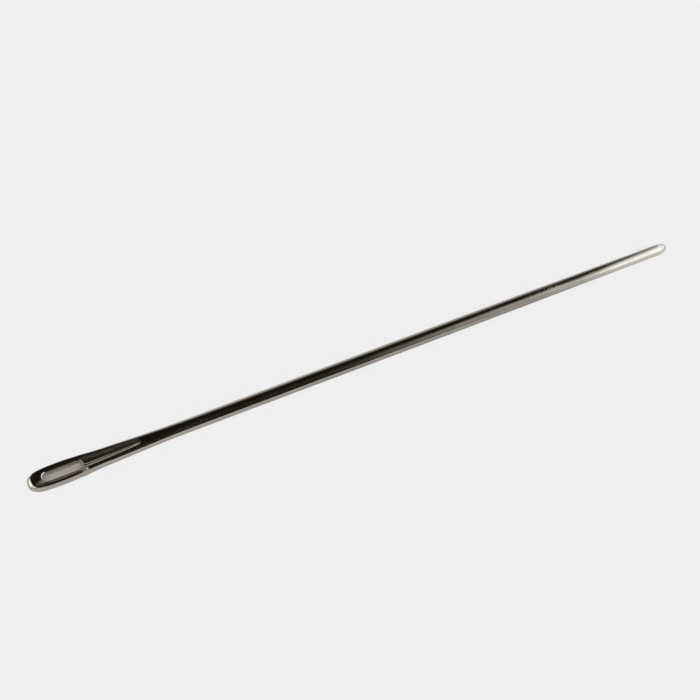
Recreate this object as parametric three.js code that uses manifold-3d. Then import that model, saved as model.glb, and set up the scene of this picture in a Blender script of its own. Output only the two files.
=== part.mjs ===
// A blunt, large-eyed needle, made from one length of drawn steel wire.
//
// The needle lies along X with its eye at the -X end and its point at +X. The eye goes through
// the head along Z. The origin is under the middle of the needle, on the plane that it lies on.
// Lengths are in millimetres.
//
// The real needle is one piece. It is divided here at a flat section of the wire, where the head's
// flare has died away, so that the head, which is pierced, and the plain shank are separate solids.

import * as THREE from "three";
import { mergeVertices } from "three/addons/utils/BufferGeometryUtils.js";
import Module from "manifold-3d";

// The whole needle and its wire.
const LENGTH = 127;
const WIRE_RADIUS = 1.2;
const SIDES = 24;

// The head, measured from the needle's eye end.
const HEAD_WIDTH = 4.22;
const HEAD_THICKNESS = 1.76;
const NECK_END = 36;

// The head's outline is a blunt superellipse from its end to its widest place, and then a smooth
// curve through these places, down to the wire.
const WIDEST = 6.2;
const NOSE_POWER = 3.2;
const FLARE = [
  // Distance from the eye end, half width.
  [WIDEST, HEAD_WIDTH / 2],
  [8.5, 2.01],
  [10.5, 1.88],
  [12.5, 1.71],
  [15, 1.62],
  [18, 1.51],
  [21, 1.38],
  [25, 1.25],
  [NECK_END, WIRE_RADIUS],
];

// Where the pressed cheeks stop being parallel. At the neck's end they are as far apart as the
// wire is thick.
const CHEEKS_END = 13;

// The eye, a slot with round ends.
const EYE_START = 2.85;
const EYE_LENGTH = 7;
const EYE_WIDTH = 1.72;

// The gutter on both cheeks. It surrounds the eye and leads the thread into the neck.
const GUTTER_START = 2;
const GUTTER_END = 21.5;
const GUTTER_WIDTH = 2.6;
const GUTTER_DEPTH = 0.42;

// The blunt point.
const TAPER_LENGTH = 55;
const POINT_RADIUS = 1.07;
const POINT_NOSE = 1.9;

// How finely the round stretches are divided.
const NOSE_STEPS = 9;
const FLARE_STEPS = 18;
const EYE_STEPS = 8;
const GUTTER_STEPS = 20;

// A cut passes this far beyond the surface that it opens.
const CUT_MARGIN = 1;

const wasm = await Module();
wasm.setup();

const polishedPlate = () =>
  new THREE.MeshStandardMaterial({ color: 0xb0a699, roughness: 0.14, metalness: 1 });

// Distance from the eye end to a place along X.
const along = (distance) => distance - LENGTH / 2;

function solidFrom(geometry) {
  const bare = geometry.clone();
  bare.deleteAttribute("normal");
  bare.deleteAttribute("uv");
  const merged = mergeVertices(bare);
  const mesh = new wasm.Mesh({
    numProp: 3,
    vertProperties: merged.attributes.position.array,
    triVerts: new Uint32Array(merged.index.array),
  });
  return new wasm.Manifold(mesh);
}

function geometryFrom(solid) {
  const mesh = solid.getMesh();
  const geometry = new THREE.BufferGeometry();
  geometry.setAttribute("position", new THREE.BufferAttribute(mesh.vertProperties, 3));
  geometry.setIndex(new THREE.BufferAttribute(mesh.triVerts, 1));
  geometry.computeVertexNormals();
  return geometry;
}

// A quarter of a superellipse from the axis out to a radius, as (radius, distance) points. A power
// of 2 is an ellipse, and a higher one is blunter.
function noseProfile(tip, shoulder, radius, power) {
  const points = [];
  for (let step = 0; step <= NOSE_STEPS; step += 1) {
    const angle = (step / NOSE_STEPS) * (Math.PI / 2);
    const distance = shoulder + (tip - shoulder) * Math.cos(angle) ** (2 / power);
    points.push(new THREE.Vector2(radius * Math.sin(angle) ** (2 / power), distance));
  }
  return points;
}

// Turns a profile of (radius, distance from the eye end) points about the needle's axis. Two flat
// sides face up and down, at the full radius from the axis.
function turned(profile) {
  const cornerScale = 1 / Math.cos(Math.PI / SIDES);
  const points = profile.map((p) => new THREE.Vector2(p.x * cornerScale, along(p.y)));
  const geometry = new THREE.LatheGeometry(points, SIDES, Math.PI / SIDES);
  geometry.rotateZ(-Math.PI / 2);
  return geometry;
}

// The head and neck before pressing: round everywhere, as wide as the head is.
function headBlank() {
  const flare = new THREE.SplineCurve(
    FLARE.map(([distance, halfWidth]) => new THREE.Vector2(halfWidth, distance)),
  );
  const profile = [
    ...noseProfile(0, WIDEST, HEAD_WIDTH / 2, NOSE_POWER),
    ...flare.getPoints(FLARE_STEPS).slice(1),
    new THREE.Vector2(0, NECK_END),
  ];
  return solidFrom(turned(profile));
}

// The space between the two dies that press the cheeks flat, as a block across the whole head.
function dieGap() {
  const cheek = HEAD_THICKNESS / 2;
  const side = new THREE.Shape();
  side.moveTo(along(-CUT_MARGIN), -cheek);
  side.lineTo(along(CHEEKS_END), -cheek);
  side.lineTo(along(NECK_END), -WIRE_RADIUS);
  side.lineTo(along(NECK_END), WIRE_RADIUS);
  side.lineTo(along(CHEEKS_END), cheek);
  side.lineTo(along(-CUT_MARGIN), cheek);
  const span = HEAD_WIDTH + 2 * CUT_MARGIN;
  const block = new THREE.ExtrudeGeometry(side, { depth: span, bevelEnabled: false });
  block.translate(0, 0, -span / 2);
  block.rotateX(Math.PI / 2);
  return solidFrom(block);
}

// The punch that makes the eye: a slot with round ends, through the head along Z.
function eyePunch() {
  const radius = EYE_WIDTH / 2;
  const slot = new THREE.Shape();
  slot.absarc(along(EYE_START + radius), 0, radius, Math.PI / 2, (3 * Math.PI) / 2);
  slot.absarc(along(EYE_START + EYE_LENGTH - radius), 0, radius, -Math.PI / 2, Math.PI / 2);
  const depth = HEAD_THICKNESS + 2 * CUT_MARGIN;
  const settings = { depth, bevelEnabled: false, curveSegments: EYE_STEPS };
  const punch = new THREE.ExtrudeGeometry(slot, settings);
  punch.translate(0, 0, -depth / 2);
  return solidFrom(punch);
}

// The tool that presses one gutter: a long ellipsoid sunk halfway into a cheek.
function gutterTool(side) {
  const halfLength = (GUTTER_END - GUTTER_START) / 2;
  const tool = new THREE.SphereGeometry(1, GUTTER_STEPS, GUTTER_STEPS);
  tool.rotateZ(Math.PI / 2);
  tool.scale(halfLength, GUTTER_WIDTH / 2, GUTTER_DEPTH);
  tool.translate(along(GUTTER_START + halfLength), 0, (side * HEAD_THICKNESS) / 2);
  return solidFrom(tool);
}

function eyeEnd() {
  let head = headBlank().intersect(dieGap());
  head = head.subtract(eyePunch());
  for (const side of [1, -1]) {
    head = head.subtract(gutterTool(side));
  }
  const mesh = new THREE.Mesh(geometryFrom(head), polishedPlate());
  mesh.name = "eye_end";
  return mesh;
}

function shank() {
  const taperStart = LENGTH - POINT_NOSE - TAPER_LENGTH;
  const profile = [
    new THREE.Vector2(0, NECK_END),
    new THREE.Vector2(WIRE_RADIUS, NECK_END),
    new THREE.Vector2(WIRE_RADIUS, taperStart),
    ...noseProfile(LENGTH, LENGTH - POINT_NOSE, POINT_RADIUS, 2).reverse(),
  ];
  const mesh = new THREE.Mesh(turned(profile), polishedPlate());
  mesh.name = "shank";
  return mesh;
}

const needle = new THREE.Group();
needle.add(eyeEnd(), shank());
needle.position.z = WIRE_RADIUS;

export default needle;
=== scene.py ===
"""A blunt, large-eyed needle of polished, nickel-plated steel, lying on a pale floor.

The needle is one continuous mesh. Distances along it are measured from its eye end, and heights
and widths from its own axis. Lengths are in metres.
"""

import math

import bmesh
import bpy
import numpy as np
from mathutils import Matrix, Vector


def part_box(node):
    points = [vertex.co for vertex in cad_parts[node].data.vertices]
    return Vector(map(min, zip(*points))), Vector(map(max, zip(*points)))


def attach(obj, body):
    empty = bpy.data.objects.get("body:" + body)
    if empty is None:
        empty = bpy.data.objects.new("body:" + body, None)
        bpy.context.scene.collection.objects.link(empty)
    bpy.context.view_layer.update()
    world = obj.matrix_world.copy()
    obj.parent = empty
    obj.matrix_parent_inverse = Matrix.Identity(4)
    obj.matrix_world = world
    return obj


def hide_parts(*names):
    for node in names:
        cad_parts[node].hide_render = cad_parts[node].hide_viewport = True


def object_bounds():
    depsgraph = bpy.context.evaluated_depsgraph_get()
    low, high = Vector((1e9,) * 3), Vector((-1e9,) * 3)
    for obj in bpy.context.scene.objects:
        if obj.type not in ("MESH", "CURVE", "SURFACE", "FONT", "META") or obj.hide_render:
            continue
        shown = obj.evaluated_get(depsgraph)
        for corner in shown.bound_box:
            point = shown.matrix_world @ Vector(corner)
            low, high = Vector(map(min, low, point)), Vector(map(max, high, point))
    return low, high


MM = 0.001

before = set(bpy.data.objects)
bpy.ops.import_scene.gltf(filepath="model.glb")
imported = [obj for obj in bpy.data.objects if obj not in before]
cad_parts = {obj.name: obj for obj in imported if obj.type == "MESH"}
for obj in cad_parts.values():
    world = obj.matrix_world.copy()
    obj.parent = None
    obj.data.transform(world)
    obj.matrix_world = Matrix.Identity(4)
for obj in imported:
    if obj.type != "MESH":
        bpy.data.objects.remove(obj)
cad_low, cad_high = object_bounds()
eye_low, eye_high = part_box("eye_end")
shank_low, shank_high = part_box("shank")

# Sizes that the CAD model fixes.
LENGTH = cad_high.x - cad_low.x
WIRE_RADIUS = (shank_high.z - shank_low.z) / 2
HEAD_HALF_WIDTH = (eye_high.y - eye_low.y) / 2
NECK_END = shank_low.x - eye_low.x
AXIS_HEIGHT = (shank_high.z + shank_low.z) / 2

# The head. Its outline is a blunt superellipse up to the widest place, then a smooth curve
# through (distance, half width) points down to the wire.
HEAD_HALF_THICKNESS = 0.88 * MM
WIDEST = 6.2 * MM
NOSE_POWER = 3.2
CHEEKS_END = 13 * MM
FLARE = [
    (WIDEST, HEAD_HALF_WIDTH),
    (8.5 * MM, 2.01 * MM),
    (10.5 * MM, 1.88 * MM),
    (12.5 * MM, 1.71 * MM),
    (15.0 * MM, 1.62 * MM),
    (18.0 * MM, 1.51 * MM),
    (21.0 * MM, 1.38 * MM),
    (25.0 * MM, 1.25 * MM),
    (NECK_END, WIRE_RADIUS),
]

# How far in the head's edge is rounded along the sides and at the nose, and how far along the
# nose's rounding goes. A power of 2 makes a round edge, and a higher one makes a fuller edge.
EDGE_ROUNDING = 0.49 * MM
NOSE_ROUNDING = 1.50 * MM
NOSE_BLEND = 1.6 * MM
EDGE_POWER = 2.3

# The least share of the way from the head's widest place to its outline. It keeps the distance to
# the outline finite in the middle.
LEAST_SHARE = 0.05

# The eye, a slot with round ends. Each mouth of it is countersunk, and its rim is rounded.
EYE_START = 2.85 * MM
EYE_END = 9.85 * MM
EYE_RADIUS = 0.86 * MM
RIM_ROUNDING = 0.20 * MM
END_RIM_ROUNDING = 0.25 * MM
MOUTH_WIDTH = 1.00 * MM
MOUTH_DEPTH = 0.22 * MM
MOUTH_LIP = 0.03

# The gutter on each cheek, a trough that leads from the mouth of the eye to a scooped end.
GUTTER_START = EYE_END - EYE_RADIUS
GUTTER_END = 20.6 * MM
GUTTER_HALF_WIDTHS = (1.37 * MM, 0.75 * MM)
GUTTER_DEPTHS = (0.46 * MM, 0.26 * MM)
GUTTER_SCOOP_POWER = 20.0

# Lumps of residue near the ends of the eye: distance along, distance across, how far it spreads
# along and across, and how thick it is as a share of the thickest.
RESIDUE = [
    (9.75 * MM, -1.1 * MM, 0.6 * MM, 0.7 * MM, 1.0),
    (2.3 * MM, -1.1 * MM, 1.2 * MM, 0.45 * MM, 0.40),
]
RESIDUE_HEIGHT = 0.26 * MM

# The point.
TAPER_START = 70 * MM
POINT_RADIUS = 1.06 * MM
POINT_NOSE = 1.9 * MM
POINT_POWER = 2.3

# Mesh fineness. Fine steps along the needle go on to just beyond the gutter.
HALF_RING = 64
SIDE_STEPS = 48
NOSE_STEPS = 56
NOSE_SAMPLES = 2000
FACE_RINGS = 28
HEAD_GRID_END = 11.0 * MM
HEAD_GRID_NOSE = 3.4 * MM
FINE_END = GUTTER_END + 1 * MM
FINE_STEP = 0.16 * MM
NECK_STEP = 0.5 * MM
SHANK_STEP = 1.5 * MM
TIP_STEPS = 24
MERGE_DISTANCE = 0.0004 * MM

# The plate: its dull and bright tones, and the colours of specks and of old residue.
DULL_PLATE = (0.60, 0.555, 0.49, 1)
BRIGHT_PLATE = (0.70, 0.665, 0.61, 1)
SPECK = (0.34, 0.30, 0.25, 1)
GRIME = (0.20, 0.165, 0.085, 1)

# The plate's patterns, in features per metre along the needle and across it both ways, and what
# part of each noise, or what width of each line, shows.
DRAWN = (70, 6500, 6500)
CLOUDS = (160, 420, 420)
LONG_SCRATCHES = (110, 1500, 1500)
CROSS_SCRATCHES = (1300, 900, 900)
SCRATCHED_PATCHES = (90, 260, 260)
SPECKS = (2600, 2600, 2600)
STREAKS = (260, 2400, 2400)
TONES_AT = (0.32, 0.66)
LONG_SCRATCH_WIDTH = 0.010
CROSS_SCRATCH_WIDTH = 0.006
PATCHES_SHOWN = (0.46, 0.62)
SPECKS_SHOWN = (0.68, 0.76)
STREAKS_SHOWN = (0.30, 0.66)

# How much rougher than a mirror the plate is, and what each kind of mark adds to that.
ROUGHNESS = 0.035
CLOUD_ROUGHNESS = 0.05
DRAWN_ROUGHNESS = 0.03
SCRATCH_ROUGHNESS = 0.10
GRIME_ROUGHNESS = 0.30

# How strong the marks are. The film of residue in the gutter is weak on its near side.
SCRATCH_SHARE = 0.55
SPECK_SHARE = 0.35
FILM_SHARE = 0.30
FILM_SIDE = (-0.3 * MM, 0.3 * MM, 0.2)
STAIN_POWER = 2.0
TINT_POWER = 0.6
GRIME_MATTNESS = 0.85
DRAWN_RELIEF = 0.5
SPECK_RELIEF = 0.6
BUMP_STRENGTH = 0.5
BUMP_DEPTH = 0.004 * MM

# The floor. It gives off most of its light by itself, which keeps the needle's shadow faint. Only
# an elliptical patch, seen through the eye, is matt and takes the full shadow, and its colour there
# is a darker, warmer painted shade. Its half sizes are along, across and up; any height will do.
FLOOR_REACH = 4.0
PALE = (0.855, 0.855, 0.855, 1)
# Painted shade: the floor's darker, warmer tone in the patch under the eye.
PAINTED_SHADE_UNDER_EYE = (0.72, 0.66, 0.59, 1)
GLOW_SHARE = 0.90
GLOW_STRENGTH = 1.032
PATCH_ACROSS = 0.2 * MM
PATCH_HALF_SIZES = (6.0 * MM, 1.45 * MM, 1.0)
PATCH_FADE = (1.0, 0.8)

# What the plate reflects of the floor, with painted shade and painted light: its tone at the head,
# at the middle and by the window, and where along X one changes into the next.
REFLECTED_SHADE_AT_HEAD = (0.60, 0.57, 0.53, 1)
REFLECTED_SHADE_AT_MIDDLE = (0.50, 0.475, 0.44, 1)
REFLECTED_LIGHT_BY_WINDOW = (0.92, 0.90, 0.87, 1)
HEAD_TO_MIDDLE = (-0.05, 0.01)
MIDDLE_TO_WINDOW = (0.034, 0.066)

# The room that the plate reflects, as light by direction: x along the needle, y across it, away
# from the viewer, and z up. A name that ends in ALONG, ACROSS or UP is a smooth ramp over one of
# them: from, to, and the values there if they aren't 0 and 1.
BROWN = (1.0, 0.76, 0.50, 1)
WARM = (1.0, 0.93, 0.83, 1)
COOL = (0.94, 1.0, 1.0, 1)
WALL_LIGHT = 0.62
WALL_ALONG = (0.21, 0.43)
WALL_ACROSS = (0.05, -0.70)
WINDOW_ALONG = (0.405, 0.456)
WINDOW_LEAN = -0.030
DAY_ACROSS = (0.9, -0.3, 0.85, 1.62)
DAY_ALONG = (0.46, 0.60, 1.0, 0.86)
RIGHT_UP = (0.0, 0.4, 0.45)
STRIP_LIGHT = 0.55
STRIP_UP = (0.8, 0.0)
STRIP_ACROSS = (0.3, 0.8)
STRIP_ALONG = (0.24, 0.42, 1.0, 0.70)
LAMP_DIRECTION = (-0.79, 0.44, 0.44)
LAMP_EDGE = (0.93, 0.99)
LAMP_LIGHT = 1.0
LEFT_LIGHT = 0.85
LEFT_ALONG = (-0.62, -0.84)
LEFT_UP = (0.0, 0.2)
DARKEST = 0.010
TINTED_BELOW = 0.08

# The soft light that matt surfaces get, by how near a direction is to the brightest one.
KEY_DIRECTION = (0.0, -0.7, 0.7)
KEY_SPREAD = (0.80, 0.95, 0.65, 2.5)

# The camera: where it looks from, and what it looks at, from the middle of the needle.
CAMERA_AZIMUTH = math.radians(-24.42)
CAMERA_ELEVATION = math.radians(55)
CAMERA_DISTANCE = 260 * MM
CAMERA_TARGET = (-2.75 * MM, 1.68 * MM)
CAMERA_SENSOR = 36
CAMERA_LENS = 73.7
CAMERA_CLIP = (0.005, 20)


def smoothstep(start, end, value):
    t = np.clip((value - start) / (end - start), 0, 1)
    return t * t * (3 - 2 * t)


def mix(a, b, t):
    return a + (b - a) * t


def clamped_spline(points):
    """A curve with continuous curvature through the points, level at both ends."""
    x, y = np.array(points, float).T
    n = len(x)
    h = np.diff(x)
    matrix = np.eye(n)
    wanted = np.zeros(n)
    for i in range(1, n - 1):
        matrix[i, i - 1 : i + 2] = 1 / h[i - 1], 2 / h[i - 1] + 2 / h[i], 1 / h[i]
        before = (y[i] - y[i - 1]) / h[i - 1] ** 2
        after = (y[i + 1] - y[i]) / h[i] ** 2
        wanted[i] = 3 * (before + after)
    slopes = np.linalg.solve(matrix, wanted)

    def evaluate(at):
        i = np.clip(np.searchsorted(x, at) - 1, 0, n - 2)
        t = (at - x[i]) / h[i]
        rise = y[i + 1] - y[i]
        start, end = slopes[i] * h[i] - rise, rise - slopes[i + 1] * h[i]
        return y[i] + t * rise + t * (1 - t) * ((1 - t) * start + t * end)

    return evaluate


flare = clamped_spline(FLARE)


def half_width(u):
    """Half the needle's width at a distance from its eye end, up to the end of the neck."""
    ahead = np.clip((WIDEST - u) / WIDEST, 0, 1)
    nose = HEAD_HALF_WIDTH * (1 - ahead**NOSE_POWER) ** (1 / NOSE_POWER)
    return np.where(u < WIDEST, nose, flare(np.clip(u, WIDEST, NECK_END)))


def depth_from_edge(u, y):
    """How far a place in plan is inside the head's outline."""
    ahead = np.clip((WIDEST - u) / WIDEST, 0, 1)
    across = np.abs(y) / HEAD_HALF_WIDTH
    share = (ahead**NOSE_POWER + across**NOSE_POWER) ** (1 / NOSE_POWER)
    share = np.maximum(share, LEAST_SHARE)
    rise_along = (ahead / share) ** (NOSE_POWER - 1) / WIDEST
    rise_across = (across / share) ** (NOSE_POWER - 1) / HEAD_HALF_WIDTH
    nose = (1 - share) / np.hypot(rise_along, rise_across)
    side = half_width(u) - np.abs(y)
    return np.where(u < WIDEST, nose, side)


def depth_from_eye(u, y):
    """How far a place in plan is outside the eye."""
    inner = np.clip(u, EYE_START + EYE_RADIUS, EYE_END - EYE_RADIUS)
    return np.hypot(u - inner, y) - EYE_RADIUS


def rounded(depth, radius, power):
    """Rises from 0 at an edge to 1 at radius inside it, as a rounded edge does."""
    t = np.clip(depth / radius, 0, 1)
    return np.sqrt(np.maximum(1 - (1 - t) ** power, 0))


def mouth_depth(u, y):
    """How deep the countersink round the eye is at a place in plan."""
    inside = 1 - depth_from_eye(u, y) / MOUTH_WIDTH
    return MOUTH_DEPTH * (inside + np.hypot(inside, MOUTH_LIP)) / 2


def along_gutter(u):
    """How far along the gutter a place is, from 0 to 1."""
    return np.clip((u - GUTTER_START) / (GUTTER_END - GUTTER_START), 0, 1)


def hollow(u, y):
    """How far down in the gutter a place is, from 0 on the cheek to 1 at the bottom."""
    t = along_gutter(u)
    across = (1 + np.cos(math.pi * np.clip(np.abs(y) / mix(*GUTTER_HALF_WIDTHS, t), 0, 1))) / 2
    ahead = smoothstep(GUTTER_START - MOUTH_WIDTH, EYE_END + MOUTH_WIDTH, u)
    return across * ahead * (1 - t**GUTTER_SCOOP_POWER)


def gutter_depth(u, y):
    """How deep the gutter is pressed at a place in plan."""
    return mix(*GUTTER_DEPTHS, along_gutter(u)) * hollow(u, y)


def residue(u, y):
    """How thick the residue is at a place, from 0 to 1."""
    lumps = [
        share * np.exp(-np.square((u - at_u) / along) - np.square((y - at_y) / across))
        for at_u, at_y, along, across, share in RESIDUE
    ]
    return np.maximum.reduce(lumps)


def surface_height(u, y):
    """Height of the upper face above the needle's axis, on the head and neck."""
    blend = smoothstep(EYE_END, NECK_END, u)
    cheek = mix(HEAD_HALF_THICKNESS, WIRE_RADIUS, smoothstep(CHEEKS_END, NECK_END, u))
    edge = mix(NOSE_ROUNDING, EDGE_ROUNDING, smoothstep(0, NOSE_BLEND, u))
    radius = mix(edge, half_width(u), blend)
    power = mix(EDGE_POWER, 2.0, blend)
    edge = rounded(depth_from_edge(u, y), radius, power)
    beyond = np.maximum(EYE_START + EYE_RADIUS - u, u - EYE_END + EYE_RADIUS) / EYE_RADIUS
    rim_radius = mix(RIM_ROUNDING, END_RIM_ROUNDING, smoothstep(0, 1, beyond))
    rim = rounded(depth_from_eye(u, y), rim_radius, 2.0)
    sunk = np.maximum(mouth_depth(u, y), gutter_depth(u, y))
    return (cheek - sunk + RESIDUE_HEIGHT * residue(u, y)) * edge * rim


def wire_radius(u):
    """Radius of the round shank, its taper and its blunt point."""
    taper = mix(WIRE_RADIUS, POINT_RADIUS, smoothstep(TAPER_START, LENGTH, u))
    beyond = np.clip((u - (LENGTH - POINT_NOSE)) / POINT_NOSE, 0, 1)
    return taper * np.sqrt(1 - beyond**POINT_POWER)


def evenly_along(points, count):
    """Points evenly spaced along a fine polyline, ends included."""
    points = np.array(points)
    run = np.concatenate([[0], np.cumsum(np.hypot(*np.diff(points, axis=0).T))])
    at = np.linspace(0, run[-1], count + 1)
    return np.stack([np.interp(at, run, points[:, 0]), np.interp(at, run, points[:, 1])], 1)


def head_grid():
    """Plan points of a ring-shaped grid from the head's outline in to the eye."""
    centre_left, centre_right = EYE_START + EYE_RADIUS, EYE_END - EYE_RADIUS
    turn = np.linspace(0, math.pi, HALF_RING + 1)
    chord_y = half_width(HEAD_GRID_END) * np.cos(turn)
    chord = np.stack([np.full(HALF_RING + 1, HEAD_GRID_END), chord_y], 1)
    side_u = np.linspace(HEAD_GRID_END, HEAD_GRID_NOSE, SIDE_STEPS + 1)
    side = np.stack([side_u, -half_width(side_u)], 1)
    fine_u = HEAD_GRID_NOSE * (1 - np.linspace(0, 1, NOSE_SAMPLES) ** 3)
    nose_half = evenly_along(np.stack([fine_u, -half_width(fine_u)], 1), NOSE_STEPS // 2)
    lower_outer = np.concatenate([side, nose_half[1:]])
    upper_outer = lower_outer[::-1] * [1, -1]
    outer = np.concatenate([chord[:-1], lower_outer[:-1], upper_outer[:-1]])

    right = np.stack([centre_right + EYE_RADIUS * np.sin(turn), EYE_RADIUS * np.cos(turn)], 1)
    wall_u = np.linspace(centre_right, centre_left, SIDE_STEPS + 1)
    wall = np.stack([wall_u, np.full(SIDE_STEPS + 1, -EYE_RADIUS)], 1)
    bend = np.linspace(0, math.pi / 2, NOSE_STEPS // 2 + 1)
    left = np.stack([centre_left - EYE_RADIUS * np.sin(bend), -EYE_RADIUS * np.cos(bend)], 1)
    lower_inner = np.concatenate([wall, left[1:]])
    upper_inner = lower_inner[::-1] * [1, -1]
    inner = np.concatenate([right[:-1], lower_inner[:-1], upper_inner[:-1]])

    share = (1 - np.cos(np.linspace(0, math.pi, FACE_RINGS + 1))) / 2
    return mix(outer[None], inner[None], share[:, None, None])


def ring_faces(start, rows, columns):
    """Quads between rings of vertices that are stored one ring after another."""
    faces = []
    for r in range(rows - 1):
        for c in range(columns):
            a = start + r * columns + c
            b = start + r * columns + (c + 1) % columns
            faces.append((a, b, b + columns, a + columns))
    return faces


def needle_mesh():
    """The whole needle: two head grids back to back, and rings from there to the point."""
    grid = head_grid()
    u, y = grid[..., 0], grid[..., 1]
    z = surface_height(u, y)
    # The two grids meet along the head's outline and along the eye.
    z[0, HALF_RING:] = 0
    z[0, 0] = 0
    z[-1] = 0
    rows, columns = u.shape
    points = []
    faces = []
    hollows = []
    residues = []
    for side in (1, -1):
        faces += ring_faces(len(points), rows, columns)
        points += np.stack([u, y, side * z], -1).reshape(-1, 3).tolist()
        hollows += hollow(u, y).ravel().tolist()
        residues += residue(u, y).ravel().tolist()

    stations = np.concatenate([
        np.arange(HEAD_GRID_END, FINE_END, FINE_STEP),
        np.arange(FINE_END + NECK_STEP, NECK_END, NECK_STEP),
        np.arange(NECK_END, LENGTH - POINT_NOSE, SHANK_STEP),
        LENGTH - POINT_NOSE * (1 - np.sin(np.linspace(0, math.pi / 2, TIP_STEPS + 1)[:-1])),
    ])
    turn = np.linspace(0, 2 * math.pi, 2 * HALF_RING + 1)[:-1]
    upper = np.where(turn <= math.pi, 1, -1)
    first = len(points)
    for at in stations:
        ring_u = np.full_like(turn, at)
        if at < NECK_END:
            ring_y = half_width(at) * np.cos(turn)
            ring_z = upper * surface_height(ring_u, ring_y)
            ring_z[[0, HALF_RING]] = 0
            hollows += hollow(ring_u, ring_y).tolist()
        else:
            ring_y = wire_radius(at) * np.cos(turn)
            ring_z = wire_radius(at) * np.sin(turn)
            hollows += [0.0] * len(turn)
        points += np.stack([ring_u, ring_y, ring_z], 1).tolist()
    faces += ring_faces(first, len(stations), 2 * HALF_RING)
    tip = len(points)
    points.append([LENGTH, 0, 0])
    last = tip - 2 * HALF_RING
    faces += [(last + c, last + (c + 1) % (2 * HALF_RING), tip) for c in range(2 * HALF_RING)]

    shift = Vector((cad_low.x, 0, AXIS_HEIGHT))
    mesh = bpy.data.meshes.new("needle")
    mesh.from_pydata([Vector(p) + shift for p in points], [], faces)
    for name, values in (("hollow", hollows), ("residue", residues)):
        values = values + [0.0] * (len(points) - len(values))
        mesh.attributes.new(name, "FLOAT", "POINT").data.foreach_set("value", values)
    clean = bmesh.new()
    clean.from_mesh(mesh)
    bmesh.ops.remove_doubles(clean, verts=clean.verts, dist=MERGE_DISTANCE)
    bmesh.ops.recalc_face_normals(clean, faces=clean.faces)
    clean.to_mesh(mesh)
    clean.free()
    mesh.polygons.foreach_set("use_smooth", [True] * len(mesh.polygons))
    return mesh


def socket(tree, name, kind, inputs=(), **settings):
    """Adds a node, sets its properties, joins or sets its inputs, and returns one output."""
    made = tree.nodes.new(kind)
    for key, value in settings.items():
        setattr(made, key, value)
    for key, value in dict(inputs).items():
        if isinstance(value, bpy.types.NodeSocket):
            tree.links.new(value, made.inputs[key])
        else:
            made.inputs[key].default_value = value
    return made.outputs[name]


def math_node(tree, operation, *values):
    return socket(tree, 0, "ShaderNodeMath", dict(enumerate(values)), operation=operation)


def product(tree, *values):
    result = values[0]
    for value in values[1:]:
        result = math_node(tree, "MULTIPLY", result, value)
    return result


def vector_math(tree, name, operation, *values):
    return socket(tree, name, "ShaderNodeVectorMath", dict(enumerate(values)), operation=operation)


def split(tree, vector):
    return socket(tree, "X", "ShaderNodeSeparateXYZ", {0: vector}).node.outputs


def colour_mix(tree, share, first, second):
    inputs = {0: share, 6: first, 7: second}
    return socket(tree, 2, "ShaderNodeMix", inputs, data_type="RGBA")


def shader_mix(tree, share, first, second):
    return socket(tree, "Shader", "ShaderNodeMixShader", {0: share, 1: first, 2: second})


def background(tree, colour, strength):
    inputs = {"Color": colour, "Strength": strength}
    return socket(tree, "Background", "ShaderNodeBackground", inputs)


def ramp(tree, value, low, high, to_low=0.0, to_high=1.0):
    """Goes smoothly from to_low, where the value is low, to to_high, where it is high."""
    inputs = {"Value": value, "From Min": low, "From Max": high}
    inputs |= {"To Min": to_low, "To Max": to_high}
    return socket(tree, "Result", "ShaderNodeMapRange", inputs, interpolation_type="SMOOTHSTEP")


def noise(tree, vector, scale, detail=3.0, roughness=0.55):
    """Noise with about as many features in a metre, along each axis, as scale says."""
    place = socket(tree, 0, "ShaderNodeMapping", {"Vector": vector, "Scale": scale})
    inputs = {"Vector": place, "Scale": 1.0, "Detail": detail, "Roughness": roughness}
    return socket(tree, "Fac", "ShaderNodeTexNoise", inputs)


def hairlines(tree, vector, scale, width):
    """Thin curved lines, where a smooth noise passes through its middle value."""
    height = math_node(tree, "SUBTRACT", noise(tree, vector, scale, 1.0), 0.5)
    return ramp(tree, math_node(tree, "ABSOLUTE", height), width, 0.0)


def attribute(tree, name):
    return socket(tree, "Fac", "ShaderNodeAttribute", attribute_name=name)


def grime(tree, place):
    """Old residue: thickest in the corners of the eye, and a thin film on the gutter's walls,
    more on one than on the other."""
    depth = attribute(tree, "hollow")
    walls = product(tree, depth, math_node(tree, "SUBTRACT", 1.0, depth))
    side = ramp(tree, split(tree, place)["Y"], *FILM_SIDE)
    streaks = ramp(tree, noise(tree, place, STREAKS), *STREAKS_SHOWN)
    film = product(tree, walls, side, streaks)
    stain = math_node(tree, "POWER", attribute(tree, "residue"), STAIN_POWER)
    return math_node(tree, "MINIMUM", math_node(tree, "MULTIPLY_ADD", film, FILM_SHARE, stain), 1.0)


def scratches(tree, place):
    """Hair scratches in patches, most of them along the needle."""
    lines = math_node(
        tree,
        "MAXIMUM",
        hairlines(tree, place, LONG_SCRATCHES, LONG_SCRATCH_WIDTH),
        hairlines(tree, place, CROSS_SCRATCHES, CROSS_SCRATCH_WIDTH),
    )
    patches = ramp(tree, noise(tree, place, SCRATCHED_PATCHES, 2.0), *PATCHES_SHOWN)
    return product(tree, lines, patches, SCRATCH_SHARE)


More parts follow.
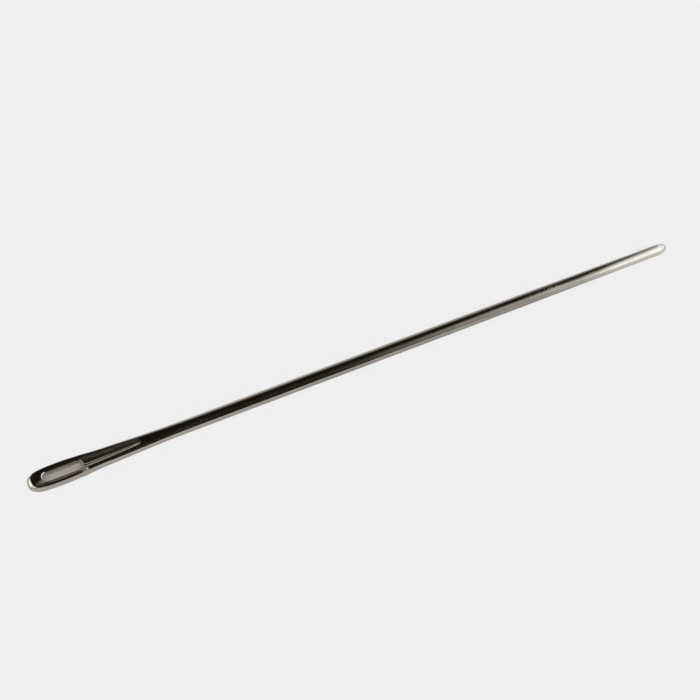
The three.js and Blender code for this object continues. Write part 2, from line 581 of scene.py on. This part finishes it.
def plated_steel():
    """Bright plate over drawn wire, with fine lines along it, hair scratches and old residue."""
    material = bpy.data.materials.new("plated_steel")
    material.use_nodes = True
    tree = material.node_tree
    shader = tree.nodes["Principled BSDF"]
    place = socket(tree, "Object", "ShaderNodeTexCoord")

    drawn = noise(tree, place, DRAWN, 4.0, 0.65)
    clouds = noise(tree, place, CLOUDS, 4.0)
    scratched = scratches(tree, place)
    specks = ramp(tree, noise(tree, place, SPECKS, 2.0), *SPECKS_SHOWN)
    dirt = grime(tree, place)

    plate = socket(tree, "Color", "ShaderNodeValToRGB", {"Fac": clouds})
    tones = plate.node.color_ramp.elements
    tones[0].position, tones[1].position = TONES_AT
    tones[0].color, tones[1].color = DULL_PLATE, BRIGHT_PLATE
    speckled = colour_mix(tree, product(tree, specks, SPECK_SHARE), plate, SPECK)
    stained = colour_mix(tree, math_node(tree, "POWER", dirt, TINT_POWER), speckled, GRIME)
    tree.links.new(stained, shader.inputs["Base Color"])
    metal = math_node(tree, "MULTIPLY_ADD", dirt, -GRIME_MATTNESS, 1.0)
    tree.links.new(metal, shader.inputs["Metallic"])

    rough = ROUGHNESS
    for mark, added in (
        (clouds, CLOUD_ROUGHNESS),
        (drawn, DRAWN_ROUGHNESS),
        (scratched, SCRATCH_ROUGHNESS),
        (dirt, GRIME_ROUGHNESS),
    ):
        rough = math_node(tree, "MULTIPLY_ADD", mark, added, rough)
    tree.links.new(rough, shader.inputs["Roughness"])

    relief = math_node(tree, "SUBTRACT", product(tree, drawn, DRAWN_RELIEF), scratched)
    relief = math_node(tree, "MULTIPLY_ADD", specks, -SPECK_RELIEF, relief)
    inputs = {"Height": relief, "Strength": BUMP_STRENGTH, "Distance": BUMP_DEPTH}
    tree.links.new(socket(tree, "Normal", "ShaderNodeBump", inputs), shader.inputs["Normal"])
    return material


def floor_material():
    """Pale and evenly lit for the camera; painted shade under the eye and in the reflections."""
    material = bpy.data.materials.new("pale_floor")
    material.use_nodes = True
    tree = material.node_tree
    tree.nodes.clear()
    position = socket(tree, "Position", "ShaderNodeNewGeometry")

    centre = (cad_low.x + (EYE_START + EYE_END) / 2, PATCH_ACROSS, 0)
    offset = vector_math(tree, "Vector", "SUBTRACT", position, centre)
    shrink = [1 / half for half in PATCH_HALF_SIZES]
    scaled = vector_math(tree, "Vector", "MULTIPLY", offset, shrink)
    shaded = ramp(tree, vector_math(tree, "Value", "LENGTH", scaled), *PATCH_FADE)
    # Painted shade: the patch under the eye turns from the pale floor tone to a darker, warmer one.
    tone = colour_mix(tree, shaded, PALE, PAINTED_SHADE_UNDER_EYE)
    matt = socket(tree, "BSDF", "ShaderNodeBsdfDiffuse", {"Color": tone})
    glow_inputs = {"Color": PALE, "Strength": GLOW_STRENGTH}
    glow = socket(tree, "Emission", "ShaderNodeEmission", glow_inputs)
    share = product(tree, math_node(tree, "SUBTRACT", 1.0, shaded), GLOW_SHARE)
    lit = shader_mix(tree, share, matt, glow)

    along = split(tree, position)["X"]
    # Painted shade and painted light: the floor's tone in the plate's reflections changes along X.
    tone = colour_mix(tree, ramp(tree, along, *HEAD_TO_MIDDLE), REFLECTED_SHADE_AT_HEAD, REFLECTED_SHADE_AT_MIDDLE)
    tone = colour_mix(tree, ramp(tree, along, *MIDDLE_TO_WINDOW), tone, REFLECTED_LIGHT_BY_WINDOW)
    painted_reflection = socket(tree, "BSDF", "ShaderNodeBsdfDiffuse", {"Color": tone})

    glossy = socket(tree, "Is Glossy Ray", "ShaderNodeLightPath")
    output = tree.nodes.new("ShaderNodeOutputMaterial")
    tree.links.new(shader_mix(tree, glossy, lit, painted_reflection), output.inputs["Surface"])
    return material


def make_floor():
    mesh = bpy.data.meshes.new("floor")
    reach = FLOOR_REACH
    corners = [(-reach, -reach, 0), (reach, -reach, 0), (reach, reach, 0), (-reach, reach, 0)]
    mesh.from_pydata(corners, [], [(0, 1, 2, 3)])
    floor = bpy.data.objects.new("floor", mesh)
    mesh.materials.append(floor_material())
    bpy.context.scene.collection.objects.link(floor)


def room_light(tree, direction):
    """The room as the plate reflects it."""
    x, y, z = split(tree, direction)
    # The wall on the right is lit, more so towards the viewer, and ends at a tall window.
    wall = product(tree, ramp(tree, x, *WALL_ALONG), ramp(tree, y, *WALL_ACROSS), WALL_LIGHT)
    leaning = math_node(tree, "MULTIPLY_ADD", y, WINDOW_LEAN, x)
    window = ramp(tree, leaning, *WINDOW_ALONG)
    day = product(tree, ramp(tree, y, *DAY_ACROSS), ramp(tree, x, *DAY_ALONG))
    right = math_node(tree, "MAXIMUM", wall, product(tree, window, day))
    right = product(tree, right, ramp(tree, z, *RIGHT_UP))
    # The wall behind the needle is pale near the floor.
    strip = product(tree, ramp(tree, z, *STRIP_UP), ramp(tree, y, *STRIP_ACROSS))
    strip = product(tree, strip, ramp(tree, x, *STRIP_ALONG))
    # A small lamp stands low on the left, behind the needle, before a wall.
    aim = vector_math(tree, "Value", "DOT_PRODUCT", direction, LAMP_DIRECTION)
    lamp = math_node(tree, "MULTIPLY_ADD", ramp(tree, aim, *LAMP_EDGE), LAMP_LIGHT, DARKEST)
    left = product(tree, ramp(tree, x, *LEFT_ALONG), ramp(tree, z, *LEFT_UP))
    left = math_node(tree, "MULTIPLY_ADD", left, LEFT_LIGHT, lamp)
    strength = math_node(tree, "ADD", right, left)
    strength = math_node(tree, "MULTIPLY_ADD", strip, STRIP_LIGHT, strength)
    # Daylight is cool, lamplight warm, and what is hardly lit is brown.
    colour = colour_mix(tree, window, WARM, COOL)
    colour = colour_mix(tree, ramp(tree, strength, 0.0, TINTED_BELOW), BROWN, colour)
    return background(tree, colour, strength)


def make_world():
    world = bpy.data.worlds.new("studio")
    bpy.context.scene.world = world
    world.use_nodes = True
    tree = world.node_tree
    tree.nodes.clear()
    direction = socket(tree, "Generated", "ShaderNodeTexCoord")
    room = room_light(tree, direction)
    key = vector_math(tree, "Value", "DOT_PRODUCT", direction, KEY_DIRECTION)
    dome = background(tree, (1, 1, 1, 1), ramp(tree, key, *KEY_SPREAD))
    backdrop = background(tree, PALE, 1.0)
    path = tree.nodes.new("ShaderNodeLightPath")
    lit = shader_mix(tree, path.outputs["Is Glossy Ray"], dome, room)
    seen = shader_mix(tree, path.outputs["Is Camera Ray"], lit, backdrop)
    output = tree.nodes.new("ShaderNodeOutputWorld")
    tree.links.new(seen, output.inputs["Surface"])


def make_camera():
    flat = math.cos(CAMERA_ELEVATION)
    back = Vector((
        math.sin(CAMERA_AZIMUTH) * flat,
        -math.cos(CAMERA_AZIMUTH) * flat,
        math.sin(CAMERA_ELEVATION),
    ))
    right = Vector((math.cos(CAMERA_AZIMUTH), math.sin(CAMERA_AZIMUTH), 0))
    up = back.cross(right)
    target_right, target_up = CAMERA_TARGET
    target = Vector((0, 0, AXIS_HEIGHT)) + right * target_right + up * target_up
    data = bpy.data.cameras.new("camera")
    data.sensor_width = CAMERA_SENSOR
    data.lens = CAMERA_LENS
    data.clip_start, data.clip_end = CAMERA_CLIP
    camera = bpy.data.objects.new("camera", data)
    camera.rotation_mode = "QUATERNION"
    camera.rotation_quaternion = (-back).to_track_quat("-Z", "Y")
    camera.location = target + back * CAMERA_DISTANCE
    bpy.context.scene.collection.objects.link(camera)
    bpy.context.scene.camera = camera


needle = bpy.data.objects.new("needle", needle_mesh())
bpy.context.scene.collection.objects.link(needle)
needle.data.materials.append(plated_steel())
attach(needle, "root")
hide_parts("eye_end", "shank")

make_floor()
make_world()
make_camera()
bpy.context.scene.view_settings.view_transform = "Standard"
